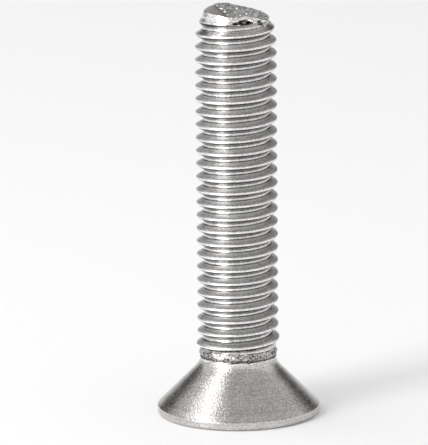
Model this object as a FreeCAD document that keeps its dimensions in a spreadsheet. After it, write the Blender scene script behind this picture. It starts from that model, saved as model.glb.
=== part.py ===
import FreeCAD, Part
import Sketcher
import os

V = FreeCAD.Vector

# Countersunk hexagon socket screw, M5 x 25, standing on its flat head with the tip up.
# The axis is Z, the head's face is at zero, and every size is in millimetres.
SIZES = [
    ("overall_length", 25.12),
    ("head_diameter", 9.9),
    ("land_height", 0.5),
    ("rim_break", 0.15),
    ("neck_diameter", 4.52),
    ("neck_blend", 0.2),
    ("pitch", 0.8),
    ("crest_diameter", 4.95),
    ("pitch_diameter", 4.48),
    ("root_diameter", 4.02),
    ("flank_half_width", 0.17),
    ("first_crest", 1.5),
    ("runout_start", 3.6),
    ("runout_end", 4.25),
    ("runout_rise", 1.68),
    ("runout_depth", 0.7),
    ("tip_taper", 1.77),
    ("tip_diameter", 3.86),
    ("shear_drop", 0.66),
    ("ledge_depth", 0.22),
    ("ledge_offset", 0.95),
    ("socket_flats", 3.0),
    ("socket_depth", 2.3),
    ("socket_lead", 3.68),
    ("socket_drill", 2.96),
    ("drill_point", 0.87),
    ("clearance", 1.2),
    ("overlap", 0.05),
]


def make_sheet(doc):
    """The driving dimensions, one plain number a row, each with its alias."""
    sheet = doc.addObject("Spreadsheet::Sheet", "Sizes")
    for row, (alias, number) in enumerate(SIZES, start=1):
        sheet.set("A%d" % row, alias)
        sheet.set("B%d" % row, str(number))
        sheet.setAlias("B%d" % row, alias)
    doc.recompute()
    return sheet


def origin_plane(body, role):
    for item in body.Origin.OriginFeatures:
        if item.Role == role:
            return item
    raise ValueError("no plane called " + role)


def pin_point(sketch, edge, name, across, up):
    """Tie the start of an edge to the expressions of its two coordinates."""
    if across == "0":
        sketch.addConstraint(Sketcher.Constraint("PointOnObject", edge, 1, -2))
    else:
        value = float(sketch.evalExpression(across))
        rule = Sketcher.Constraint("DistanceX", -1, 1, edge, 1, value)
        index = sketch.addConstraint(rule)
        sketch.renameConstraint(index, name + "_across")
        sketch.setExpression("Constraints." + name + "_across", across)
    if up == "0":
        sketch.addConstraint(Sketcher.Constraint("PointOnObject", edge, 1, -1))
    else:
        value = float(sketch.evalExpression(up))
        rule = Sketcher.Constraint("DistanceY", -1, 1, edge, 1, value)
        index = sketch.addConstraint(rule)
        sketch.renameConstraint(index, name + "_up")
        sketch.setExpression("Constraints." + name + "_up", up)


def add_outline(body, name, role, corners):
    """A closed sketch through the corners, whose coordinates are expressions of the sheet."""
    sketch = body.newObject("Sketcher::SketchObject", name)
    sketch.AttachmentSupport = [(origin_plane(body, role), "")]
    sketch.MapMode = "FlatFace"
    points = []
    for across, up in corners:
        points.append(V(float(sketch.evalExpression(across)), float(sketch.evalExpression(up)), 0))
    count = len(points)
    for index in range(count):
        sketch.addGeometry(Part.LineSegment(points[index], points[(index + 1) % count]), False)
    for index in range(count):
        after = (index + 1) % count
        sketch.addConstraint(Sketcher.Constraint("Coincident", index, 2, after, 1))
    for index, (across, up) in enumerate(corners):
        pin_point(sketch, index, "point%d" % index, across, up)
    return sketch


def turn_about_axis(body, kind, name, sketch):
    feature = body.newObject(kind, name)
    feature.Profile = sketch
    feature.ReferenceAxis = (sketch, ["V_Axis"])
    feature.Angle = 360
    return feature


def add_helix(doc, name, diameter, height):
    """One helical line, right-handed from the +X side, in whole turns past the screw's end."""
    helix = doc.addObject("Part::Helix", name)
    helix.SegmentLength = 1
    turns = "ceil((Sizes.overall_length - Sizes.first_crest) / Sizes.pitch)"
    helix.setExpression("Pitch", "Sizes.pitch")
    helix.setExpression("Height", "Sizes.pitch * " + turns)
    helix.setExpression("Radius", diameter + " / 2")
    helix.setExpression("Placement.Base.z", height)
    return helix


def make_thread_rod(doc, sheet):
    """A threaded rod, closed at both ends, whose flanks are ruled from helix to helix.

    Each pitch is a valley with its sharp root, and a blunter crest above the pitch line.
    Neighbouring strips share their helical edges, so the rod is watertight.
    """
    crest = "Sizes.crest_diameter"
    middle = "Sizes.pitch_diameter"
    root = "Sizes.root_diameter"
    start = "Sizes.first_crest"
    helices = [
        add_helix(doc, "CrestBelow", crest, start),
        add_helix(doc, "FlankBelow", middle, start + " + Sizes.pitch / 2 - Sizes.flank_half_width"),
        add_helix(doc, "Root", root, start + " + Sizes.pitch / 2"),
        add_helix(doc, "FlankAbove", middle, start + " + Sizes.pitch / 2 + Sizes.flank_half_width"),
        add_helix(doc, "CrestAbove", crest, start + " + Sizes.pitch"),
    ]
    doc.recompute()
    wires = [helix.Shape.Edges for helix in helices]
    faces = []
    for lower, upper in zip(wires, wires[1:]):
        for below, above in zip(lower, upper):
            faces.append(Part.makeRuledSurface(below, above))

    # each end is closed by a helicoid from the crest to the axis and a radial step
    pitch = sheet.get("pitch")
    low = sheet.get("first_crest")
    high = low + helices[0].Height.Value
    section = [(helix.Radius.Value, helix.Placement.Base.z - low) for helix in helices]
    for level, edge in ((low, wires[0][0]), (high, wires[-1][-1])):
        axis = Part.LineSegment(V(0, 0, level), V(0, 0, level + pitch)).toShape()
        faces.append(Part.makeRuledSurface(edge, axis))
        step = [V(0, 0, level)]
        step += [V(radius, 0, level + rise) for radius, rise in section]
        step += [V(0, 0, level + pitch), V(0, 0, level)]
        faces.append(Part.Face(Part.makePolygon(step)))

    skin = Part.makeCompound(faces)
    skin.sewShape()
    rod = Part.Solid(skin.Shells[0])
    if rod.Volume < 0:
        rod.reverse()
    feature = doc.addObject("Part::Feature", "ThreadRod")
    feature.Shape = rod
    return feature


def trim_thread(body):
    """Run the thread out above the neck, and taper it towards the tip."""
    outside = "Sizes.crest_diameter / 2 + Sizes.clearance"
    inside = "Sizes.neck_diameter / 2 - Sizes.overlap"
    neck = add_outline(body, "NeckReliefSketch", "XZ_Plane", [
        (inside, "Sizes.first_crest + Sizes.pitch"),
        (outside, "Sizes.first_crest + Sizes.pitch"),
        (outside, "Sizes.runout_end + Sizes.runout_rise"),
        (inside, "Sizes.runout_start"),
    ])
    turn_about_axis(body, "PartDesign::Groove", "NeckRelief", neck)
    tip = add_outline(body, "TipTaperSketch", "XZ_Plane", [
        ("Sizes.crest_diameter / 2", "Sizes.overall_length - Sizes.tip_taper"),
        (outside, "Sizes.overall_length - Sizes.tip_taper"),
        (outside, "Sizes.overall_length + 2 * Sizes.clearance"),
        ("Sizes.tip_diameter / 2", "Sizes.overall_length + 2 * Sizes.clearance"),
        ("Sizes.tip_diameter / 2", "Sizes.overall_length"),
    ])
    turn_about_axis(body, "PartDesign::Groove", "TipTaper", tip)


def add_head(body):
    """The flat head, its broken rim and land, the cone, and the neck that fills the run-out."""
    head_radius = "Sizes.head_diameter / 2"
    neck_radius = "Sizes.neck_diameter / 2"
    # the seat is a 90 degree cone, so it climbs as much as it narrows
    neck_level = "(Sizes.land_height + Sizes.head_diameter / 2 - Sizes.neck_diameter / 2)"
    head = add_outline(body, "HeadSketch", "XZ_Plane", [
        ("0", "0"),
        (head_radius + " - Sizes.rim_break", "0"),
        (head_radius, "Sizes.rim_break"),
        (head_radius, "Sizes.land_height"),
        (neck_radius + " + Sizes.neck_blend", neck_level + " - Sizes.neck_blend"),
        (neck_radius, neck_level + " + Sizes.neck_blend"),
        (neck_radius, "Sizes.runout_end"),
        ("Sizes.root_diameter / 2 - Sizes.overlap", "Sizes.runout_end + Sizes.runout_depth"),
        ("0", "Sizes.runout_end + Sizes.runout_depth"),
    ])
    turn_about_axis(body, "PartDesign::Revolution", "Head", head)


def shear_tip(body):
    """The blank was sheared, so its end face slopes down to one side and has a torn ledge."""
    reach = "Sizes.crest_diameter"
    top = "Sizes.overall_length + 3 * Sizes.clearance"
    slope = "(Sizes.shear_drop / Sizes.tip_diameter)"
    face = add_outline(body, "ShearSketch", "XZ_Plane", [
        ("-" + reach, "Sizes.overall_length + " + slope + " * (" + reach + " - Sizes.tip_diameter / 2)"),
        (reach, "Sizes.overall_length - " + slope + " * (" + reach + " + Sizes.tip_diameter / 2)"),
        (reach, top),
        ("-" + reach, top),
    ])
    cut = body.newObject("PartDesign::Pocket", "Shear")
    cut.Profile = face
    cut.Type = "Length"
    cut.Midplane = True
    cut.setExpression("Length", "2 * " + reach)
    ledge_level = "Sizes.overall_length - Sizes.shear_drop - Sizes.ledge_depth"
    ledge = add_outline(body, "LedgeSketch", "XZ_Plane", [
        ("Sizes.ledge_offset + Sizes.ledge_depth", ledge_level),
        (reach, ledge_level),
        (reach, top),
        ("Sizes.ledge_offset", top),
        ("Sizes.ledge_offset", "Sizes.overall_length - Sizes.shear_drop / 2"),
    ])
    step = body.newObject("PartDesign::Pocket", "Ledge")
    step.Profile = ledge
    step.Type = "Length"
    step.Midplane = True
    step.setExpression("Length", "2 * " + reach)


def cut_socket(body):
    """The hexagon socket with its conical lead-in and the point of its pilot hole."""
    corners = []
    for turn in range(6):
        corner = "Sizes.socket_flats / sqrt(3) * "
        angle = "(%d deg)" % (60 * turn + 30)
        corners.append((corner + "cos" + angle, corner + "sin" + angle))
    hexagon = add_outline(body, "SocketSketch", "XY_Plane", corners)
    pocket = body.newObject("PartDesign::Pocket", "Socket")
    pocket.Profile = hexagon
    pocket.Type = "Length"
    pocket.Reversed = True
    pocket.setExpression("Length", "Sizes.socket_depth")
    drill = "Sizes.socket_drill / 2"
    bore = add_outline(body, "PilotSketch", "XZ_Plane", [
        ("0", "0"),
        ("Sizes.socket_lead / 2", "0"),
        (drill, "Sizes.socket_lead / 2 - Sizes.socket_drill / 2"),
        (drill, "Sizes.socket_depth"),
        ("0", "Sizes.socket_depth + Sizes.drill_point"),
    ])
    turn_about_axis(body, "PartDesign::Groove", "Pilot", bore)


def make_screw(doc, sheet):
    body = doc.addObject("PartDesign::Body", "Screw")
    body.BaseFeature = make_thread_rod(doc, sheet)
    trim_thread(body)
    add_head(body)
    shear_tip(body)
    cut_socket(body)
    body.Label = "screw"
    return body


def check_document(doc, bodies):
    for item in doc.Objects:
        if "Invalid" in item.State or "Error" in item.State:
            raise RuntimeError(item.Name + " did not compute: " + str(item.State))
    for body in bodies:
        if body.Shape.isNull() or not body.Shape.isValid() or len(body.Shape.Solids) != 1:
            raise RuntimeError(body.Label + " is not one valid solid")


def main():
    doc = FreeCAD.newDocument("CountersunkScrew")
    sheet = make_sheet(doc)
    screw = make_screw(doc, sheet)
    doc.recompute()
    check_document(doc, [screw])
    os.makedirs("parts", exist_ok=True)
    screw.Shape.exportStep("parts/" + screw.Label + ".step")
    box = screw.Shape.BoundBox
    print("screw", round(screw.Shape.Volume, 2), "mm3, box", box)


main()
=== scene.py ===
import math

import bpy
import numpy as np
from mathutils import Matrix, Vector


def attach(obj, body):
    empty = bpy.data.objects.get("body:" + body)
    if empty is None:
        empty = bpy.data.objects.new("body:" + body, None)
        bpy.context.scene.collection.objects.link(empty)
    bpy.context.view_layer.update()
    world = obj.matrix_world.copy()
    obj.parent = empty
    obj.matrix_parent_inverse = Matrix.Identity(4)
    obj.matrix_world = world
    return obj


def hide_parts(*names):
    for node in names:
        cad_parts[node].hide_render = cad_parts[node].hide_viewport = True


bl_info = {
    "name": "Countersunk Socket Screw",
    "version": (1, 0, 0),
    "blender": (4, 5, 0),
    "location": "View3D > Sidebar > Screw",
    "description": "A stainless countersunk socket screw that stands on its head, with its studio",
    "category": "Mesh",
}

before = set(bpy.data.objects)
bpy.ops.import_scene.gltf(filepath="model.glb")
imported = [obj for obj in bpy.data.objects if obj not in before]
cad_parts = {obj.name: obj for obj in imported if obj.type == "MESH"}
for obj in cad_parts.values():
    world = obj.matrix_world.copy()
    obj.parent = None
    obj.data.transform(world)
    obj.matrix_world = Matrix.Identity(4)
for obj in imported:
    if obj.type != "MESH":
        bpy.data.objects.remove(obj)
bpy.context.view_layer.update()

MM = 0.001
COLUMNS = 132

# The finishes of the skin's faces, and the material of each in the same order.
# The fifth finish is a near-black steel: painted shade in the deep of the tear and along the
# collar's edges.
ROLLED, SATIN, SHEARED, SOCKET, PAINTED_SHADE, HAMMERED = range(6)
STEELS = (
    "rolled_steel", "satin_steel", "sheared_steel", "socket_steel", "painted_shade_steel", "hammered_steel")

# The climbing rows of vertices begin on the lower cone and end past the tip, in mm.
CLIMB_START = 2.16
CLIMB_PAST_TIP = 1.15

# Where the rows of vertices lie in the half pitch above a crest, as parts of the pitch. The
# other half mirrors them.
HALF_TURN_ROWS = np.array([0, .03, .05, .07, .1, .16, .22, .27, .31, .345, .375]) / 0.8

# The thread, in mm. The taper's radii belong to its depths below the tip from the third on.
# Near the run-out, whose line wanders, the thread stands on the neck at a part of its height,
# from a little below the run-out's end to further above it.
CREST_ROUNDING = 0.06
ROOT_ROUNDING = 0.09
TAPER_DEPTHS = np.array([25, 2.22, 1.62, 1.22, 0.9, 0.52, 0.12, -2.0])
TAPER_RADII = (2.435, 2.355, 2.225, 2.055, 1.90, 1.55)
RUNOUT_WANDER = 0.04
RUNOUT_PART = 0.75
RUNOUT_PART_BELOW, RUNOUT_PART_ABOVE = 0.2, 0.75

# The collar under the run-out, in mm: how far below its start each form lies, and its height.
COLLAR_EDGE_LOW, COLLAR_EDGE_HIGH = 0.42, 0.35
COLLAR_HEIGHT, COLLAR_DENTS = 0.085, 0.034
BEAD_DROP, BEAD_HEIGHT, BEAD_WIDTH = 0.53, 0.075, 0.050

# The sheared end, in mm: its profile from left to right at the back and at the front, as place
# and drop below the tip, then the ridge along the tear line and the roughness beyond it.
END_BACK = (
    (-2.2, -0.2), (-1.5, -0.08), (-1.0, 0.0), (-0.6, -0.02), (0.2, -0.24), (0.84, -0.35),
    (1.5, -0.46), (2.3, -0.6))
END_FRONT = (
    (-2.2, -0.19), (-1.45, -0.15), (-0.96, -0.20), (-0.4, -0.25), (0.2, -0.26), (0.7, -0.20),
    (1.3, -0.36), (1.7, -0.55), (2.3, -0.7))
END_RIDGE_HEIGHT, END_RIDGE_WIDTH = 0.10, 0.10
END_COARSE, END_FINE, END_SINK = 0.050, 0.035, 0.05

# The torn patch in the tip's wall, in mm: the radius at which its noise is read, the scale of
# that noise along the wall, and how deep its two parts are.
WALL_RADIUS, WALL_STRETCH = 2.2, 1.5
HOLLOW_DEPTH, CRUMB_DEPTH = 0.24, 0.095

# Place on the thread from one crest to the next, with the painted light and the dullness there. The
# painted light is a factor on the colour: full on the crest and high on the root as painted
# highlights, near black on the flank under a crest and in a thin line below the root as painted
# shade. Then the dullness of steel without shades, and the roughness that full dullness adds.
PAINTED_THREAD_SHADES = (
    (0.0, 1.0, 0.4), (0.025, 1.0, 0.4), (0.075, 0.96, 1.0), (0.34, 0.90, 1.0),
    (0.385, 0.06, 0.2), (0.43, 0.76, 0.3), (0.55, 0.76, 0.2), (0.60, 0.50, 0.0),
    (0.72, 0.48, 0.0), (0.77, 0.03, 0.0), (0.92, 0.03, 0.0), (0.955, 1.0, 0.4))
PLAIN_DULLNESS = 0.4
DULL_ROUGHNESS = 0.28

# Greys that the steel reflects, from the horizon up to the zenith: over the camera, at both
# sides and behind the screw. WARMTH tints them, the next two pairs say at which Y one passes
# into another, and the fill light is the strength of the white that lights everything else.
TONE_HEIGHTS = (0.07, 0.17, 0.50, 0.74)
FRONT_TONES = (0.95, 1.0, 1.0, 0.9, 0.58, 0.56)
SIDE_TONES = (0.95, 0.55, 0.07, 0.06, 0.50, 0.64)
BACK_TONES = (0.95, 0.80, 0.50, 0.14, 0.50, 0.64)
WARMTH = (1.0, 0.985, 0.975)
FRONT_TO_SIDES = (0.40, 0.68)
SIDES_TO_BACK = (0.86, 0.96)
FILL_LIGHT = 0.83

# The floor in metres, the place of the card on it, and the camera: its focal length, the
# point that it is turned to, and how many degrees it leans.
FLOOR_HALF = 1.5
FLOOR_LINES = 13
FLOOR_DROP = 0.00001
CARD_X, CARD_Y = -0.0512, -0.0352
LENS_MM = 466.2
CAMERA_AIM_MM = (-1.407, 0, 11.82)
CAMERA_LEAN = -0.51


class ScrewSizes(bpy.types.PropertyGroup):
    """Sizes of the screw, whose axis is Z and whose head face is at zero."""

    overall_length: bpy.props.FloatProperty(
        name="Overall length", description="From the head face to the top of the tip",
        default=0.02511, min=0.01, unit="LENGTH", precision=5)
    head_diameter: bpy.props.FloatProperty(
        name="Head diameter", description="Across the land, the widest place of the head",
        default=0.0099, min=0.006, unit="LENGTH", precision=5)
    land_height: bpy.props.FloatProperty(
        name="Land height", description="Where the seat cone starts above the head face",
        default=0.0005, min=0.0002, unit="LENGTH", precision=5)
    rim_radius: bpy.props.FloatProperty(
        name="Rim radius", description="Rounding between the head face and the land",
        default=0.00018, min=0.00002, unit="LENGTH", precision=5)
    neck_diameter: bpy.props.FloatProperty(
        name="Neck diameter", description="Plain neck between the cone and the thread",
        default=0.00452, min=0.003, unit="LENGTH", precision=5)
    neck_fillet: bpy.props.FloatProperty(
        name="Neck fillet", description="How far the cone blends into the neck",
        default=0.00022, min=0.00005, unit="LENGTH", precision=5)
    pitch: bpy.props.FloatProperty(
        name="Pitch", description="Rise of the thread in one turn",
        default=0.0008, min=0.0004, unit="LENGTH", precision=5)
    first_crest: bpy.props.FloatProperty(
        name="First crest",
        description="Height of a crest on the +X side, from which the turns are counted",
        default=0.0015, unit="LENGTH", precision=5)
    crest_diameter: bpy.props.FloatProperty(
        name="Crest diameter", description="Across the crests of the thread",
        default=0.00495, min=0.003, unit="LENGTH", precision=5)
    root_diameter: bpy.props.FloatProperty(
        name="Root diameter", description="Across the roots of the thread",
        default=0.00404, min=0.003, unit="LENGTH", precision=5)
    crest_flat: bpy.props.FloatProperty(
        name="Crest flat", description="Width of the flat on a crest",
        default=0.00012, min=0.00002, unit="LENGTH", precision=5)
    runout_start: bpy.props.FloatProperty(
        name="Run-out start", description="Height where the thread has faded into the neck",
        default=0.00404, unit="LENGTH", precision=5)
    runout_end: bpy.props.FloatProperty(
        name="Run-out end", description="Height where the thread has its full depth",
        default=0.00442, unit="LENGTH", precision=5)
    socket_flats: bpy.props.FloatProperty(
        name="Socket across flats", description="Width of the hexagon socket",
        default=0.003, min=0.001, unit="LENGTH", precision=5)
    socket_lead: bpy.props.FloatProperty(
        name="Socket lead-in", description="Diameter of the conical lead-in at the head face",
        default=0.00368, min=0.001, unit="LENGTH", precision=5)
    socket_depth: bpy.props.FloatProperty(
        name="Socket depth", description="Depth of the socket's flat walls",
        default=0.0023, min=0.0005, unit="LENGTH", precision=5)
    drill_point: bpy.props.FloatProperty(
        name="Drill point", description="Depth of the cone at the bottom of the socket",
        default=0.00085, min=0.0001, unit="LENGTH", precision=5)


class ScrewFinish(bpy.types.PropertyGroup):
    """Colours of the screw's surfaces."""

    rolled: bpy.props.FloatVectorProperty(
        name="Rolled steel", description="Colour of the thread",
        subtype="COLOR", size=3, default=(0.900, 0.872, 0.853), min=0.0, max=1.0)
    turned: bpy.props.FloatVectorProperty(
        name="Satin steel", description="Colour of the cone, the land and the head face",
        subtype="COLOR", size=3, default=(0.56, 0.545, 0.535), min=0.0, max=1.0)
    sheared: bpy.props.FloatVectorProperty(
        name="Sheared steel", description="Colour of the torn end face",
        subtype="COLOR", size=3, default=(0.86, 0.852, 0.845), min=0.0, max=1.0)
    hammered: bpy.props.FloatVectorProperty(
        name="Hammered steel", description="Colour of the rough collar above the neck",
        subtype="COLOR", size=3, default=(0.36, 0.352, 0.345), min=0.0, max=1.0)
    # A near-black colour, painted as shade in the deep of the tear and along the collar's edges.
    hollow: bpy.props.FloatVectorProperty(
        name="Painted shade steel", description="Colour of the deep tear beside the end face",
        subtype="COLOR", size=3, default=(0.13, 0.125, 0.12), min=0.0, max=1.0)
    socket: bpy.props.FloatVectorProperty(
        name="Socket steel", description="Colour of the broached socket",
        subtype="COLOR", size=3, default=(0.47, 0.44, 0.41), min=0.0, max=1.0)


class StageLook(bpy.types.PropertyGroup):
    """The studio around the screw."""

    floor: bpy.props.FloatVectorProperty(
        name="Floor", description="Colour of the pale floor",
        subtype="COLOR", size=3, default=(0.88, 0.88, 0.88), min=0.0, max=1.0)
    camera_distance: bpy.props.FloatProperty(
        name="Camera distance", description="From the camera to the middle of the screw",
        default=0.35, min=0.1, unit="LENGTH")
    camera_elevation: bpy.props.FloatProperty(
        name="Camera elevation", description="Angle of the camera above the floor",
        default=math.radians(12.8), subtype="ANGLE")


def smooth(low, high, value):
    """A step from 0 at low to 1 at high with no corner at either end."""
    t = np.clip((value - low) / (high - low), 0.0, 1.0)
    return t * t * (3.0 - 2.0 * t)


def soft_min(a, b, width):
    """The lesser of two values, with the corner between them rounded over the width."""
    t = np.clip(0.5 + 0.5 * (b - a) / width, 0.0, 1.0)
    return b * (1.0 - t) + a * t - width * t * (1.0 - t)


def soft_max(a, b, width):
    """The greater of two values, with the corner between them rounded over the width."""
    return -soft_min(-a, -b, width)


def wave_noise(x, y, z, scale, seed):
    """Soft noise between about -1 and 1: a seeded sum of 14 plane sine waves.

    Their directions are random and their wave numbers are 0.6 to 1.7 times the scale. The sum
    is divided by 3.8, about the root of 14.
    """
    rng = np.random.default_rng(seed)
    total = 0.0
    for _ in range(14):
        way = rng.normal(size=3)
        way *= scale * rng.uniform(0.6, 1.7) / np.linalg.norm(way)
        phase = rng.uniform(0, 2 * math.pi)
        total = total + np.sin(x * way[0] + y * way[1] + z * way[2] + phase)
    return total / 3.8


def rolled_profile(s, turn, height):
    """Radius in mm of the thread as rolled, at an angle (in turns) and a height (in mm).

    The distance from the nearest crest line along the axis gives it: a narrow flat, then a
    flank that falls by 1.732 per unit (60 degrees between flanks), then a rounded root. The
    tip's taper lowers the crests, squeezes the flanks in proportion, and takes the roots down
    where they would stand above it.
    """
    pitch = s.pitch / MM
    crest = s.crest_diameter / 2 / MM
    root = s.root_diameter / 2 / MM
    phase = (height - s.first_crest / MM) / pitch - turn
    away = np.abs(phase - np.round(phase)) * pitch
    flank = crest - (away - s.crest_flat / 2 / MM) * math.sqrt(3.0)
    profile = soft_max(soft_min(flank, crest, CREST_ROUNDING), root, ROOT_ROUNDING)
    top = s.overall_length / MM
    taper = np.interp(height, top - TAPER_DEPTHS, [crest, crest, *TAPER_RADII])
    valley = np.minimum(root, taper - 0.01)
    return valley + (profile - root) * (taper - valley) / (crest - root)


def thread_radius(s, turn, height):
    """Radius of the shank in mm at an angle (in turns) and a height (in mm).

    The rolled profile, with its roots filled near the run-out, fades into the neck along a
    line that wanders a little. The collar stands out where it has faded, with dents, and a
    bead in the form of a bell curve runs below it. The torn patch is taken off at the end.
    """
    neck = s.neck_diameter / 2 / MM
    start = s.runout_start / MM
    end = s.runout_end / MM
    angle = 2 * math.pi * turn
    wander = wave_noise(np.cos(angle), np.sin(angle), 0.0, 6.0, 5) * RUNOUT_WANDER
    shaped = rolled_profile(s, turn, height)
    filled = neck + (shaped - s.root_diameter / 2 / MM) * RUNOUT_PART
    near_end = 1 - smooth(end - RUNOUT_PART_BELOW, end + RUNOUT_PART_ABOVE, height)
    lifted = shaped + (np.maximum(filled, shaped) - shaped) * near_end
    fade = smooth(start + wander, end + wander, height)
    low_edge = start - COLLAR_EDGE_LOW + 0.5 * wander
    high_edge = start - COLLAR_EDGE_HIGH + 0.5 * wander
    ring = smooth(low_edge, high_edge, height) * (1 - fade)
    dented = COLLAR_HEIGHT + COLLAR_DENTS * collar_dents(angle, height)
    bulge = ring * dented * (1 - 0.5 * smooth(start - 0.12, start, height))
    from_bead = (height - start + BEAD_DROP - 0.3 * wander) / BEAD_WIDTH
    bead = BEAD_HEIGHT * np.exp(-from_bead ** 2)
    return neck + (lifted - neck) * fade + bulge + bead - torn_wall(s, angle, height)


def collar_dents(angle, height):
    """Noise of the hammered collar between about -1 and 1, read on its wall, by angle and mm."""
    return wave_noise(2.3 * np.cos(angle), 2.3 * np.sin(angle), 1.6 * height, 17.0, 8)


def ellipse(across, below, middle, half):
    """1 in the middle of an ellipse in angle and depth, 0 on its edge and less outside it."""
    return 1 - ((across - middle[0]) / half[0]) ** 2 - ((below - middle[1]) / half[1]) ** 2


def torn_wall(s, angle, height):
    """Depth in mm of the torn patch in the tip's wall, under the low side of the sheared end.

    A deep hollow, and shallow crumbs further round. Each is an ellipse in the angle from the
    front (degrees) and the depth below the end's edge (mm), broken up by noise.
    """
    top = s.overall_length / MM
    across = np.degrees((angle + math.pi / 2 + math.pi) % (2 * math.pi) - math.pi)
    near = WALL_RADIUS * np.cos(angle), WALL_RADIUS * np.sin(angle), WALL_STRETCH * height
    coarse = wave_noise(*near, 5.0, 21)
    fine = wave_noise(*near, 13.0, 22)
    edge_radius = 2.0
    below = end_face(edge_radius * np.cos(angle), edge_radius * np.sin(angle), top) - height
    patch = ellipse(across, below, middle=(14, 0.36), half=(18, 0.15))
    crumbs = ellipse(across, below, middle=(55, 0.24), half=(32, 0.20))
    broken = smooth(0.05, 0.35, patch + 0.50 * coarse)
    hollow = HOLLOW_DEPTH * broken * (1 + 0.35 * fine) * smooth(0.05, 0.12, below)
    return hollow + CRUMB_DEPTH * smooth(0.0, 0.4, crumbs) * (coarse + fine)


def cone_radius(s, height):
    """Radius of the seat cone in mm: it narrows by as much as it climbs, down to the neck."""
    return (s.head_diameter / 2 + s.land_height) / MM - height


def tear_line(x, y):
    """How far in mm a point of the end face lies right of the ragged line where it is torn.

    A straight slanting line, with a wave of 0.09 mm and a shorter one of 0.05 mm along it.
    """
    return x + 0.80 + 0.265 * y + 0.09 * np.sin(9 * y) + 0.05 * np.sin(17 * y + 1)


def end_face(x, y, top):
    """Height of the sheared end face in mm: a level left side and a fall to the right.

    Its profile from left to right passes from the front one to the back one. Right of the
    tear line it is sunk and rough, and a bell-shaped ridge follows that line.
    """
    back = np.interp(x, *np.transpose(END_BACK))
    front = np.interp(x, *np.transpose(END_FRONT))
    line = top + front + (back - front) * smooth(-1.9, 1.9, y)
    border = tear_line(x, y)
    inside = 1 - smooth(1.45, 1.95, np.hypot(x, y))
    torn = smooth(-0.10, 0.06, border) * inside
    coarse = END_COARSE * wave_noise(0.8 * x, y, 0.0, 8.5, 11)
    rough = coarse + END_FINE * wave_noise(x, y, 0.0, 19.0, 12)
    bell = np.exp(-(border / END_RIDGE_WIDTH) ** 2)
    ridge = END_RIDGE_HEIGHT * bell * (0.35 + 0.65 * inside)
    return line + torn * (rough - END_SINK) + ridge


def profile_rings(s):
    """The lathe-turned part as stacked rings: radius, height and finish of each ring by angle.

    From the point of the socket out over its walls, its lead-in and the head face, round the
    rim, up the land and the lower cone. The hexagon's radius at an angle is half its flats
    divided by the cosine of the angle from the nearest flat's middle, with its corners cut.
    """
    angle = 2 * math.pi * np.arange(COLUMNS) / COLUMNS
    flat = np.ones(COLUMNS)
    rows = []

    def add_ring(radius, height, finish):
        """Note one ring, whose radius and height are numbers or go by angle."""
        rows.append((radius * flat, height * flat, finish))

    sector = math.pi / 3
    half_flats = s.socket_flats / 2 / MM
    corner = half_flats * 1.135
    hexagon = half_flats / np.cos((angle + sector / 2) % sector - sector / 2)
    hexagon = np.minimum(hexagon, corner)
    lead = s.socket_lead / 2 / MM
    depth = s.socket_depth / MM
    point = s.drill_point / MM
    drill = half_flats - 0.03
    for part in (0.08, 0.2, 0.4, 0.6, 0.8, 0.93, 1.0):
        add_ring(drill * part, depth + point * (1 - part), SOCKET)
    add_ring(drill + 0.012, depth - 0.004, SOCKET)
    chamfer = lead - hexagon
    for part in (1.0, 0.97, 0.85, 0.6, 0.35, 0.12, 0.02):
        add_ring(hexagon, chamfer + (depth - chamfer) * part, SOCKET)
    for part in (0.0, 0.06, 0.5, 0.94):
        add_ring(hexagon + chamfer * part, chamfer * (1 - part), SOCKET)

    rim = s.rim_radius / MM
    head = s.head_diameter / 2 / MM
    face = head - rim
    for part in (0.0, 0.02, 0.1, 0.25, 0.45, 0.65, 0.85, 0.97):
        add_ring(lead + (face - lead) * part + 0.008, 0, SATIN)
    for part in np.linspace(0.0, 1.0, 9):
        a = part * math.pi / 2
        add_ring(face + rim * math.sin(a), rim - rim * math.cos(a), SATIN)
    land = s.land_height / MM
    for height in (0.24, 0.34, land - 0.07):
        add_ring(head, height, SATIN)
    bend = 0.14
    for part in np.linspace(0.0, 1.0, 6):
        a = part * math.pi / 4
        add_ring(head - bend + bend * math.cos(a), land - 0.058 + bend * math.sin(a), SATIN)
    for height in np.linspace(land + 0.1, CLIMB_START - 0.06, 22):
        add_ring(cone_radius(s, height), height, SATIN)
    return rows


def climbing_rows(s, low, high):
    """Rows of vertices that climb one pitch in a turn: row j at turn t is at base(j) + pitch * t.

    Gives their heights in mm by column and row, the number of the row that each one is, the
    first and last number of each column, and how many rows a turn has. Rows past low or high
    are the first or the last one, so that each column begins and ends level with the others.
    """
    pitch = s.pitch / MM
    first = s.first_crest / MM
    steps = np.concatenate([HALF_TURN_ROWS, 1 - HALF_TURN_ROWS[:0:-1]])
    turns = np.arange(-1, int(math.ceil((high - first) / pitch)) + 1)
    rows = (turns[:, None] + steps[None, :]).ravel() * pitch + first
    climb = rows[None, :] + pitch * (np.arange(COLUMNS) / COLUMNS)[:, None]
    margin = 0.012
    begin = np.sum(climb < low + margin, axis=1) - 1
    finish = np.sum(climb < high - margin, axis=1)
    index = np.clip(np.arange(len(rows))[None, :], begin[:, None], finish[:, None])
    climb = np.take_along_axis(climb, index, axis=1)
    climb = np.where(index == finish[:, None], high, climb)
    climb = np.where(index == begin[:, None], low, climb)
    return climb, index, begin, finish, len(steps)


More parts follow.
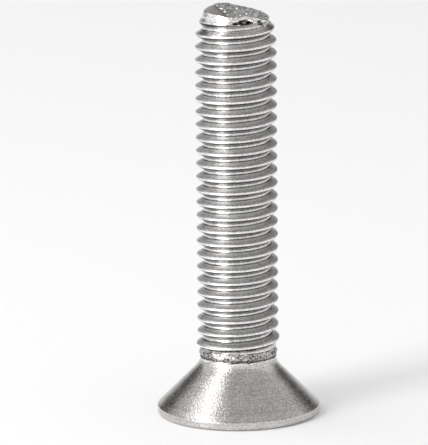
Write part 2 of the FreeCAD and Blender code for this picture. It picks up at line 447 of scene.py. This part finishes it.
def climbing_finishes(s, turn, climb, over, x, y):
    """Finish of each face of the climbing rows, where a later rule covers an earlier one.

    Hammered, satin or rolled by height, where the rolled band over the bead is partly a painted
    highlight. Near-black steel along both edges of the collar, as painted shade. Satin on the upper
    flanks of the first turns below the tip. Sheared on the torn wall. Satin or sheared on the end
    face, left or right of the tear line. The near-black painted shade again in the deep of the tear.
    """
    collar_drop, collar_half, cone_drop = 0.21, 0.23, 0.60
    shade_line_drop, shade_line_away, shade_line_half = 0.19, 0.25, 0.03
    tip_flank_depth, tip_flank_place = (0.75, 1.45), (0.08, 0.36)
    torn_depth, deep_depth = 0.02, 0.09
    edge_width, ridge_half = 0.07, 0.08

    start = s.runout_start / MM
    top = s.overall_length / MM
    collar = np.abs(climb - (start - collar_drop)) < collar_half
    # Between the cone and the collar, over the bead, the rolled steel's lighter colour makes a
    # bright ring. This is partly its smoother finish and partly a painted highlight.
    finish = np.where(collar, HAMMERED, np.where(climb < start - cone_drop, SATIN, ROLLED))
    # Thin near-black lines along both edges of the collar: painted shade.
    from_collar = np.abs(climb - start + shade_line_drop)
    finish = np.where(np.abs(from_collar - shade_line_away) < shade_line_half, PAINTED_SHADE, finish)
    place = ((climb - s.first_crest / MM) / (s.pitch / MM) - turn) % 1.0
    # Satin, darker and rougher than the rolled steel, on the upper flanks of the first turns below
    # the tip.
    tip_flank = (climb > top - tip_flank_depth[1]) & (climb < top - tip_flank_depth[0])
    tip_flank = tip_flank & (place > tip_flank_place[0]) & (place < tip_flank_place[1])
    finish = np.where(tip_flank, SATIN, finish)
    ripped = torn_wall(s, 2 * math.pi * turn, climb)
    finish = np.where(ripped > torn_depth, SHEARED, finish)
    border = tear_line(x, y)
    on_end = (over > edge_width) & ~(np.abs(border) < ridge_half)
    finish = np.where(on_end, np.where(border < 0, SATIN, SHEARED), finish)
    # The deep of the tear gets the near-black steel: painted shade.
    return np.where(ripped > deep_depth, PAINTED_SHADE, finish)


def climbing_skin(s, climb):
    """Places in mm of the climbing rows, by their heights on a straight shank.

    Up to the end's edge a row stands on the shank at its own height. Past the edge it turns
    inward over the end face by as much as it would have climbed, round a small bend:
    inward = (over + root(over squared + bend squared)) / 2, brought down to nothing just
    below the edge. Near the head the radius follows the cone where that is wider than the
    neck, with a rounded fillet between them.
    """
    top = s.overall_length / MM
    turn = (np.arange(COLUMNS) / COLUMNS)[:, None]
    direction_x, direction_y = np.cos(2 * math.pi * turn), np.sin(2 * math.pi * turn)
    edge = np.full((COLUMNS, 1), top)
    for _ in range(6):
        reach = thread_radius(s, turn, edge)
        edge = end_face(reach * direction_x, reach * direction_y, top)
    over = climb - edge
    bend = 0.06
    below = np.exp(over / 0.02 * (over < 0)) * (over < 0)
    inward = 0.5 * (over + np.sqrt(over * over + bend * bend)) - 0.5 * bend * below
    inward = np.where(over < -0.5, 0.0, np.maximum(inward, 0.0))
    neck = s.neck_diameter / 2 / MM
    lower = soft_max(cone_radius(s, climb), neck, 2.2 * s.neck_fillet / MM)
    side = thread_radius(s, turn, np.minimum(climb, edge + 0.02)) + lower - neck
    radius = np.maximum(side - inward, 0.05)
    x, y = radius * direction_x, radius * direction_y
    on_face = (end_face(x, y, top) - edge) * smooth(0.0, bend, over)
    level = edge + (over - inward) + on_face
    height = np.where(over < -0.5, climb, np.minimum(level, top))
    return x, y, height, climbing_finishes(s, turn, climb, over, x, y)


def build_skin(s):
    """Vertices, faces and finishes of the whole screw, as one closed skin.

    Rings carry the turned part up to the lower cone. Above them the climbing rows carry the
    cone's end, the neck, the thread and the sheared end, down to a small loop on it, which
    smaller copies of itself and a pole in the middle close.
    """
    top = s.overall_length / MM
    climb, index, begin, finish, per_turn = climbing_rows(s, CLIMB_START, top + CLIMB_PAST_TIP)
    x, y, height, finish_grid = climbing_skin(s, climb)
    column = np.arange(COLUMNS)
    row_count = climb.shape[1]

    rings = profile_rings(s)
    angle = 2 * math.pi * (column / COLUMNS)
    ring_x = np.array([radius * np.cos(angle) for radius, _, _ in rings])
    ring_y = np.array([radius * np.sin(angle) for radius, _, _ in rings])
    ring_z = np.array([level for _, level, _ in rings])

    loop_x, loop_y = x[column, finish], y[column, finish]
    shrink = np.array([0.8, 0.6, 0.4, 0.2])
    cap_x, cap_y = shrink[:, None] * loop_x, shrink[:, None] * loop_y
    cap_z = end_face(cap_x, cap_y, top)
    pole_z = float(end_face(np.zeros(1), np.zeros(1), top)[0])

    points = np.concatenate([
        np.array([[0, 0, (s.socket_depth + s.drill_point) / MM]]),
        np.stack([ring_x, ring_y, ring_z], axis=2).reshape(-1, 3),
        np.stack([x, y, height], axis=2).reshape(-1, 3),
        np.stack([cap_x, cap_y, cap_z], axis=2).reshape(-1, 3),
        np.array([[0, 0, pole_z]])]) * MM

    ring_id = 1 + np.arange(ring_z.size).reshape(-1, COLUMNS)
    grid_id = 1 + ring_z.size + column[:, None] * row_count + index
    cap_id = 1 + ring_z.size + COLUMNS * row_count + np.arange(cap_z.size).reshape(-1, COLUMNS)
    pole = len(points) - 1
    quads, looks = [], []

    def add_quads(corners, look):
        """Note faces by their four corners, with one finish or one for each."""
        quads.append(np.stack(corners, axis=-1).reshape(-1, 4))
        looks.append(np.broadcast_to(look, corners[0].shape).ravel())

    def add_band(lower_loop, upper_loop, look):
        """Note the faces between two loops."""
        beside = np.roll(lower_loop, -1), np.roll(upper_loop, -1)
        add_quads((lower_loop, beside[0], beside[1], upper_loop), look)

    for lower_ring, upper_ring, (_, _, look) in zip(ring_id[:-1], ring_id[1:], rings[1:]):
        add_band(lower_ring, upper_ring, look)
    add_band(ring_id[-1], grid_id[column, begin], SATIN)

    # One turn on, row j of the last column meets row j + per_turn of the first.
    beside = np.concatenate([grid_id[1:], np.full((1, row_count), grid_id[0, -1])])
    beside[-1, :row_count - per_turn] = grid_id[0, per_turn:]
    add_quads((grid_id[:, :-1], beside[:, :-1], beside[:, 1:], grid_id[:, 1:]), finish_grid[:, 1:])

    add_band(grid_id[column, finish], cap_id[0], SHEARED)
    for outer_loop, inner_loop in zip(cap_id[:-1], cap_id[1:]):
        add_band(outer_loop, inner_loop, SHEARED)
    zero = np.zeros(COLUMNS, int)
    add_quads((zero, np.roll(ring_id[0], -1), ring_id[0], zero), SOCKET)
    add_quads((cap_id[-1], np.roll(cap_id[-1], -1), zero + pole, zero + pole), SHEARED)
    return points, np.concatenate(quads), np.concatenate(looks)


def mesh_from_quads(name, points, quads, looks):
    """A mesh whose quads with a doubled corner become triangles and whose flat ones are left out."""
    after = np.roll(quads, -1, axis=1)
    keep = quads != after
    sides = keep.sum(axis=1)
    crossed = (quads[:, 0] == quads[:, 2]) | (quads[:, 1] == quads[:, 3])
    good = (sides >= 3) & ~crossed
    quads, keep, sides, looks = quads[good], keep[good], sides[good], looks[good]
    loops = quads[keep]
    used, loops = np.unique(loops, return_inverse=True)
    points = points[used]
    starts = np.concatenate([[0], np.cumsum(sides)[:-1]])
    mesh = bpy.data.meshes.new(name)
    mesh.vertices.add(len(points))
    mesh.vertices.foreach_set("co", points.astype(np.float32).ravel())
    mesh.loops.add(len(loops))
    mesh.loops.foreach_set("vertex_index", loops.astype(np.int32))
    mesh.polygons.add(len(sides))
    mesh.polygons.foreach_set("loop_start", starts.astype(np.int32))
    mesh.polygons.foreach_set("loop_total", sides.astype(np.int32))
    mesh.polygons.foreach_set("material_index", looks.astype(np.int32))
    mesh.polygons.foreach_set("use_smooth", np.ones(len(sides), bool))
    mesh.update(calc_edges=True)
    if mesh.validate(verbose=True):
        raise RuntimeError(name + " had faces that are not allowed")
    mesh.set_sharp_from_angle(angle=math.radians(42))
    return mesh


def new_group(name, inputs, outputs):
    """A shader node group with named inputs (name, default) and outputs (name, kind)."""
    tree = bpy.data.node_groups.new(name, "ShaderNodeTree")
    for title, default in inputs:
        kind = "NodeSocketVector" if title == "Vector" else "NodeSocketFloat"
        socket = tree.interface.new_socket(title, in_out="INPUT", socket_type=kind)
        if kind == "NodeSocketFloat":
            socket.default_value = default
    for title, kind in outputs:
        tree.interface.new_socket(title, in_out="OUTPUT", socket_type=kind)
    return tree, tree.nodes.new("NodeGroupInput"), tree.nodes.new("NodeGroupOutput")


def add_node(tree, kind, links=(), **values):
    """A node with its attributes set, and its inputs linked or given values."""
    node = tree.nodes.new(kind)
    for key, value in values.items():
        setattr(node, key, value)
    for socket, source in links:
        if isinstance(source, bpy.types.NodeSocket):
            tree.links.new(source, node.inputs[socket])
        else:
            node.inputs[socket].default_value = source
    return node


def make_speckle_group():
    """Satin metal: two sizes of soft speckle, as a mask for roughness and a height for bump."""
    tree, given, result = new_group(
        "satin_speckle", [("Vector", None), ("Grain", 8500.0), ("Cloud", 1200.0)],
        [("Mask", "NodeSocketFloat"), ("Height", "NodeSocketFloat")])
    fine = add_node(tree, "ShaderNodeTexNoise", [
        ("Vector", given.outputs["Vector"]), ("Scale", given.outputs["Grain"]),
        ("Detail", 2.0), ("Roughness", 0.6)])
    broad = add_node(tree, "ShaderNodeTexNoise", [
        ("Vector", given.outputs["Vector"]), ("Scale", given.outputs["Cloud"]), ("Detail", 3.0)])
    fine_step = add_node(tree, "ShaderNodeMapRange", [
        ("Value", fine.outputs["Fac"]), ("From Min", 0.32), ("From Max", 0.68)])
    broad_step = add_node(tree, "ShaderNodeMapRange", [
        ("Value", broad.outputs["Fac"]), ("From Min", 0.3), ("From Max", 0.7)])
    mixed = add_node(tree, "ShaderNodeMix", [
        ("Factor", 0.22), ("A", fine_step.outputs[0]), ("B", broad_step.outputs[0])],
        data_type="FLOAT")
    tree.links.new(mixed.outputs[0], result.inputs["Mask"])
    tree.links.new(fine.outputs["Fac"], result.inputs["Height"])
    return tree


def make_rings_group():
    """Turning marks: fine rings about the axis, from noise on the radius and the height alone."""
    tree, given, result = new_group(
        "turning_marks", [("Vector", None), ("Fineness", 26000.0)],
        [("Mask", "NodeSocketFloat"), ("Height", "NodeSocketFloat")])
    parts = add_node(tree, "ShaderNodeSeparateXYZ", [(0, given.outputs["Vector"])])
    flat = add_node(tree, "ShaderNodeCombineXYZ", [
        ("X", parts.outputs["X"]), ("Y", parts.outputs["Y"])])
    radius = add_node(tree, "ShaderNodeVectorMath", [(0, flat.outputs[0])], operation="LENGTH")
    place = add_node(tree, "ShaderNodeCombineXYZ", [
        ("X", radius.outputs["Value"]), ("Z", parts.outputs["Z"])])
    marks = add_node(tree, "ShaderNodeTexNoise", [
        ("Vector", place.outputs[0]), ("Scale", given.outputs["Fineness"]),
        ("Detail", 2.0), ("Roughness", 0.7)])
    step = add_node(tree, "ShaderNodeMapRange", [
        ("Value", marks.outputs["Fac"]), ("From Min", 0.3), ("From Max", 0.7)])
    tree.links.new(step.outputs[0], result.inputs["Mask"])
    tree.links.new(marks.outputs["Fac"], result.inputs["Height"])
    return tree


def make_thread_group(sizes):
    """Painted shade and highlight across one turn of the thread, by how far up from the crest line a
    point lies.

    That place is the height in pitches less the angle in turns, without its whole number. The shades
    are painted light. The crest keeps the full colour and the root most of it, as painted
    highlights. A thin line below the root and the flank under a crest are darkened almost to black,
    as painted shade. The shades fade out up the tip's wall and down the neck, between the heights
    given for them.
    """
    tree, given, result = new_group(
        "painted_thread_shades",
        [("Vector", None), ("Pitch", sizes.pitch), ("First Crest", sizes.first_crest),
         ("Tip", 0.0243), ("Tip End", 0.0245), ("Neck", 0.0044), ("Neck End", 0.0039)],
        [("Shade", "NodeSocketFloat"), ("Dull", "NodeSocketFloat")])

    def maths(operation, first, second):
        """The output of a Math node on two values."""
        node = add_node(tree, "ShaderNodeMath", [(0, first), (1, second)], operation=operation)
        return node.outputs[0]

    def fade(low, high):
        """0 at one given height and 1 at the other."""
        node = add_node(tree, "ShaderNodeMapRange", [
            ("Value", parts.outputs["Z"]), ("From Min", given.outputs[low]),
            ("From Max", given.outputs[high])])
        return node.outputs[0]

    def plain_or(value, plain_value):
        """The value on the thread, and the plain value where the shades have faded out."""
        node = add_node(tree, "ShaderNodeMix", [
            ("Factor", plain), ("A", value), ("B", plain_value)], data_type="FLOAT")
        return node.outputs[0]

    parts = add_node(tree, "ShaderNodeSeparateXYZ", [(0, given.outputs["Vector"])])
    above = maths("SUBTRACT", parts.outputs["Z"], given.outputs["First Crest"])
    climbed = maths("DIVIDE", above, given.outputs["Pitch"])
    angle = maths("ARCTAN2", parts.outputs["Y"], parts.outputs["X"])
    turns = maths("DIVIDE", angle, 2 * math.pi)
    gap = maths("SUBTRACT", climbed, turns)
    place = add_node(tree, "ShaderNodeMath", [(0, gap)], operation="FRACT")
    shades = add_node(tree, "ShaderNodeValToRGB", [("Fac", place.outputs[0])])
    ramp = shades.color_ramp
    ramp.elements[1].position = PAINTED_THREAD_SHADES[1][0]
    for level, _, _ in PAINTED_THREAD_SHADES[2:]:
        ramp.elements.new(level)
    for stop, (_, shade, dull) in zip(ramp.elements, PAINTED_THREAD_SHADES):
        stop.color = (shade, dull, 0, 1)
    split = add_node(tree, "ShaderNodeSeparateColor", [("Color", shades.outputs["Color"])])
    plain = maths("MAXIMUM", fade("Tip", "Tip End"), fade("Neck", "Neck End"))
    tree.links.new(plain_or(split.outputs["Red"], 1.0), result.inputs["Shade"])
    tree.links.new(plain_or(split.outputs["Green"], PLAIN_DULLNESS), result.inputs["Dull"])
    return tree


def steel_material(name, colour, speckle, rings, roughness, spread, contrast, speckle_bump,
                   ring_bump=0.0, softness=0.5, grain_size=8500.0, thread=None):
    """Bare steel. The masks of speckle and turning marks vary its colour and roughness.

    The roughness goes up and down by the spread, the colour by the contrast, with softer or sharper
    edges by the softness. The bumps are heights in metres. On a thread its painted shade and
    highlight multiply the colour, and its dullness adds to the roughness.
    """
    material = bpy.data.materials.new(name)
    material.use_nodes = True
    tree = material.node_tree
    tree.nodes.clear()
    place = add_node(tree, "ShaderNodeTexCoord")
    grain = add_node(tree, "ShaderNodeGroup", node_tree=speckle)
    marks = add_node(tree, "ShaderNodeGroup", node_tree=rings)
    tree.links.new(place.outputs["Object"], grain.inputs["Vector"])
    grain.inputs["Grain"].default_value = grain_size
    tree.links.new(place.outputs["Object"], marks.inputs["Vector"])
    both = add_node(tree, "ShaderNodeMix", [
        ("Factor", 0.35), ("A", grain.outputs["Mask"]), ("B", marks.outputs["Mask"])],
        data_type="FLOAT")
    gloss = add_node(tree, "ShaderNodeMapRange", [
        ("Value", both.outputs[0]), ("To Min", roughness - spread), ("To Max", roughness + spread)])
    sharp = add_node(tree, "ShaderNodeMapRange", [
        ("Value", both.outputs[0]), ("From Min", 0.5 - softness), ("From Max", 0.5 + softness)])
    tint = add_node(tree, "ShaderNodeMix", data_type="RGBA")
    tree.links.new(sharp.outputs[0], tint.inputs["Factor"])
    tint.inputs["A"].default_value = (*[c * (1 - contrast) for c in colour], 1)
    tint.inputs["B"].default_value = (*[min(1.0, c * (1 + contrast)) for c in colour], 1)
    base, gloss_value = tint.outputs["Result"], gloss.outputs[0]
    if thread:
        lines = add_node(tree, "ShaderNodeGroup", node_tree=thread)
        tree.links.new(place.outputs["Object"], lines.inputs["Vector"])
        shaded = add_node(tree, "ShaderNodeMix", data_type="RGBA", blend_type="MULTIPLY")
        shaded.inputs["Factor"].default_value = 1.0
        tree.links.new(base, shaded.inputs["A"])
        tree.links.new(lines.outputs["Shade"], shaded.inputs["B"])
        base = shaded.outputs["Result"]
        added = add_node(tree, "ShaderNodeMath", [
            (0, lines.outputs["Dull"]), (1, DULL_ROUGHNESS), (2, gloss_value)],
            operation="MULTIPLY_ADD")
        gloss_value = added.outputs[0]
    first = add_node(tree, "ShaderNodeBump", [
        ("Strength", 1.0), ("Distance", ring_bump), ("Height", marks.outputs["Height"])])
    second = add_node(tree, "ShaderNodeBump", [
        ("Strength", 1.0), ("Distance", speckle_bump), ("Height", grain.outputs["Height"]),
        ("Normal", first.outputs[0])])
    shader = add_node(tree, "ShaderNodeBsdfPrincipled", [
        ("Base Color", base), ("Metallic", 1.0), ("Roughness", gloss_value),
        ("Normal", second.outputs[0])])
    result = add_node(tree, "ShaderNodeOutputMaterial")
    tree.links.new(shader.outputs[0], result.inputs["Surface"])
    return material


class MakeSteels(bpy.types.Operator):
    """Make the six steels of the screw: rolled, satin, sheared, socket, hammered, and a near-black
    one for painted shade
    """

    bl_idname = "screw.make_steels"
    bl_label = "Make steels"

    def execute(self, context):
        look = context.scene.screw_finish
        marks = {"speckle": make_speckle_group(), "rings": make_rings_group()}
        steel_material(
            "rolled_steel", look.rolled, **marks, roughness=0.11, spread=0.04, contrast=0.30,
            ring_bump=4e-7, speckle_bump=1.8e-5, softness=0.24,
            thread=make_thread_group(context.scene.screw_sizes))
        steel_material(
            "satin_steel", look.turned, **marks, roughness=0.21, spread=0.07, contrast=0.30,
            ring_bump=4e-7, speckle_bump=2e-5, softness=0.30)
        steel_material(
            "sheared_steel", look.sheared, **marks, roughness=0.30, spread=0.12, contrast=0.45,
            speckle_bump=4.5e-5, softness=0.15, grain_size=6500.0)
        steel_material(
            "socket_steel", look.socket, **marks, roughness=0.30, spread=0.08, contrast=0.2,
            speckle_bump=6e-6)
        steel_material(
            "hammered_steel", look.hammered, **marks, roughness=0.30, spread=0.12, contrast=0.75,
            speckle_bump=4.5e-5, softness=0.15, grain_size=7500.0)
        # Near-black steel for the painted shade in the tear and along the collar.
        steel_material(
            "painted_shade_steel", look.hollow, **marks, roughness=0.38, spread=0.10, contrast=0.45,
            speckle_bump=2e-5)
        return {"FINISHED"}


class MakeScrew(bpy.types.Operator):
    """Make the screw as one closed skin that stands for the node of the same name"""

    bl_idname = "screw.make_screw"
    bl_label = "Make screw"

    def execute(self, context):
        points, quads, looks = build_skin(context.scene.screw_sizes)
        mesh = mesh_from_quads("countersunk_screw", points, quads, looks)
        for name in STEELS:
            mesh.materials.append(bpy.data.materials[name])
        piece = bpy.data.objects.new("countersunk_screw", mesh)
        context.scene.collection.objects.link(piece)
        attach(piece, "root")
        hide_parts("screw")
        return {"FINISHED"}


def aim(item, target):
    """Turn a lamp or camera at the target, with its own up side up."""
    way = Vector(target) - item.location
    item.rotation_euler = way.to_track_quat("-Z", "Y").to_euler()


def add_lamp(context, name, place, target, size, power):
    """A rectangular softbox at a place, turned at a target, with its size in metres and watts."""
    lamp = bpy.data.lights.new(name, "AREA")
    lamp.shape = "RECTANGLE"
    lamp.size, lamp.size_y = size
    lamp.energy = power
    item = bpy.data.objects.new(name, lamp)
    context.scene.collection.objects.link(item)
    item.location = place
    aim(item, target)
    return item


def tone_ramp(tree, height, tones):
    """A ramp of slightly warm greys from the horizon to the zenith."""
    heights = add_node(tree, "ShaderNodeValToRGB", [("Fac", height)])
    ramp = heights.color_ramp
    ramp.interpolation = "EASE"
    ramp.elements[0].position = 0.0
    ramp.elements[1].position = 1.0
    for level in TONE_HEIGHTS:
        ramp.elements.new(level)
    for stop, tone in zip(ramp.elements, tones):
        stop.color = (*[tone * part for part in WARMTH], 1)
    return heights.outputs["Color"]


def pass_over(tree, value, span, before, after):
    """The first colour below a span of the value and the second above it, blended between."""
    step = add_node(tree, "ShaderNodeMapRange", [
        ("Value", value), ("From Min", span[0]), ("From Max", span[1])],
        interpolation_type="SMOOTHSTEP")
    mix = add_node(tree, "ShaderNodeMix", [("Factor", step.outputs[0])], data_type="RGBA")
    tree.links.new(before, mix.inputs["A"])
    tree.links.new(after, mix.inputs["B"])
    return mix.outputs["Result"]


def make_floor(context, colour):
    """The pale floor: a square grid just under the head's face, with a matt paint."""
    mesh = bpy.data.meshes.new("floor")
    across = np.linspace(-FLOOR_HALF, FLOOR_HALF, FLOOR_LINES)
    grid = np.stack(np.meshgrid(across, across, indexing="ij"), axis=-1).reshape(-1, 2)
    corners = np.column_stack([grid, np.full(len(grid), -FLOOR_DROP)])
    number = np.arange(len(grid)).reshape(FLOOR_LINES, FLOOR_LINES)
    faces = [number[:-1, :-1], number[1:, :-1], number[1:, 1:], number[:-1, 1:]]
    mesh.from_pydata(corners.tolist(), [], np.stack(faces, axis=-1).reshape(-1, 4).tolist())
    floor = bpy.data.objects.new("floor", mesh)
    context.scene.collection.objects.link(floor)
    paint = bpy.data.materials.new("pale_floor")
    paint.use_nodes = True
    shader = paint.node_tree.nodes["Principled BSDF"]
    shader.inputs["Base Color"].default_value = (*colour, 1)
    shader.inputs["Roughness"].default_value = 0.6
    mesh.materials.append(paint)
    return floor


def make_world(context):
    """The studio round the screw: white for the camera, greys for gloss, an even fill otherwise."""
    world = bpy.data.worlds.new("studio")
    context.scene.world = world
    world.use_nodes = True
    tree = world.node_tree
    tree.nodes.clear()
    place = add_node(tree, "ShaderNodeTexCoord")
    parts = add_node(tree, "ShaderNodeSeparateXYZ", [(0, place.outputs["Generated"])])
    front, sides, back = [
        tone_ramp(tree, parts.outputs["Z"], tones)
        for tones in (FRONT_TONES, SIDE_TONES, BACK_TONES)]
    half = pass_over(tree, parts.outputs["Y"], FRONT_TO_SIDES, front, sides)
    tone = pass_over(tree, parts.outputs["Y"], SIDES_TO_BACK, half, back)
    white = (1, 1, 1, 1)
    studio = add_node(tree, "ShaderNodeBackground", [("Color", tone), ("Strength", 1.0)])
    fill = add_node(tree, "ShaderNodeBackground", [("Color", white), ("Strength", FILL_LIGHT)])
    seen_white = add_node(tree, "ShaderNodeBackground", [("Color", white), ("Strength", 1.0)])
    path = add_node(tree, "ShaderNodeLightPath")
    lit = add_node(tree, "ShaderNodeMixShader", [
        (0, path.outputs["Is Glossy Ray"]), (1, fill.outputs[0]), (2, studio.outputs[0])])
    seen = add_node(tree, "ShaderNodeMixShader", [
        (0, path.outputs["Is Camera Ray"]), (1, lit.outputs[0]), (2, seen_white.outputs[0])])
    result = add_node(tree, "ShaderNodeOutputWorld")
    tree.links.new(seen.outputs[0], result.inputs["Surface"])


def make_lamps(context):
    """A tall softbox on the left, a long one high on the left, and a small card on the floor."""
    middle = (0, 0, 0.012)
    add_lamp(
        context, "key_softbox", place=(-0.29, -0.235, 0.16), target=middle,
        size=(0.14, 0.30), power=1.15)
    add_lamp(
        context, "left_top_softbox", place=(-0.245, 0.040, 0.43), target=middle,
        size=(0.40, 0.13), power=0.38)
    card = add_lamp(
        context, "floor_card", place=(CARD_X, CARD_Y, 0.0005), target=(CARD_X, CARD_Y, 1),
        size=(0.095, 0.022), power=0.0135)
    card.rotation_euler = (math.pi, 0, math.atan2(-CARD_Y, -CARD_X))
    card.visible_camera = False


def make_camera(context, look):
    """The camera, in front of its aim by the distance and raised by the elevation."""
    lens = bpy.data.cameras.new("camera")
    camera = bpy.data.objects.new("camera", lens)
    context.scene.collection.objects.link(camera)
    lens.sensor_width = 36.0
    lens.lens = LENS_MM
    lens.clip_end = 10.0
    rise = look.camera_elevation
    target = Vector([part * MM for part in CAMERA_AIM_MM])
    away = Vector((0, -math.cos(rise), math.sin(rise)))
    camera.location = target + look.camera_distance * away
    lean = Matrix.Rotation(math.radians(CAMERA_LEAN), 3, "Z")
    camera.rotation_euler = (Matrix.Rotation(math.pi / 2 - rise, 3, "X") @ lean).to_euler()
    context.scene.camera = camera


class MakeStage(bpy.types.Operator):
    """Make the pale floor, the soft studio light and the camera"""

    bl_idname = "screw.make_stage"
    bl_label = "Make stage"

    def execute(self, context):
        look = context.scene.screw_stage
        floor = make_floor(context, look.floor)
        make_world(context)
        make_lamps(context)
        make_camera(context, look)
        context.scene.view_settings.view_transform = "Standard"
        return {"FINISHED"}


class ScrewPanel(bpy.types.Panel):
    """Sizes, colours and steps of the screw in the 3D view's sidebar"""

    bl_idname = "VIEW3D_PT_screw"
    bl_label = "Countersunk Screw"
    bl_space_type = "VIEW_3D"
    bl_region_type = "UI"
    bl_category = "Screw"

    def draw(self, context):
        scene = context.scene
        for group in (scene.screw_sizes, scene.screw_finish, scene.screw_stage):
            for key in group.__annotations__:
                self.layout.prop(group, key)
        for step in STEPS:
            self.layout.operator(step.bl_idname)


STEPS = (MakeSteels, MakeScrew, MakeStage)
CLASSES = (ScrewSizes, ScrewFinish, StageLook, *STEPS, ScrewPanel)


def register():
    """Add the classes to Blender, and their settings to the scene."""
    for item in CLASSES:
        bpy.utils.register_class(item)
    bpy.types.Scene.screw_sizes = bpy.props.PointerProperty(type=ScrewSizes)
    bpy.types.Scene.screw_finish = bpy.props.PointerProperty(type=ScrewFinish)
    bpy.types.Scene.screw_stage = bpy.props.PointerProperty(type=StageLook)


def unregister():
    """Take the settings and the classes out again."""
    del bpy.types.Scene.screw_sizes
    del bpy.types.Scene.screw_finish
    del bpy.types.Scene.screw_stage
    for item in reversed(CLASSES):
        bpy.utils.unregister_class(item)


def main():
    register()
    bpy.ops.screw.make_steels()
    bpy.ops.screw.make_screw()
    bpy.ops.screw.make_stage()


if __name__ == "__main__":
    main()
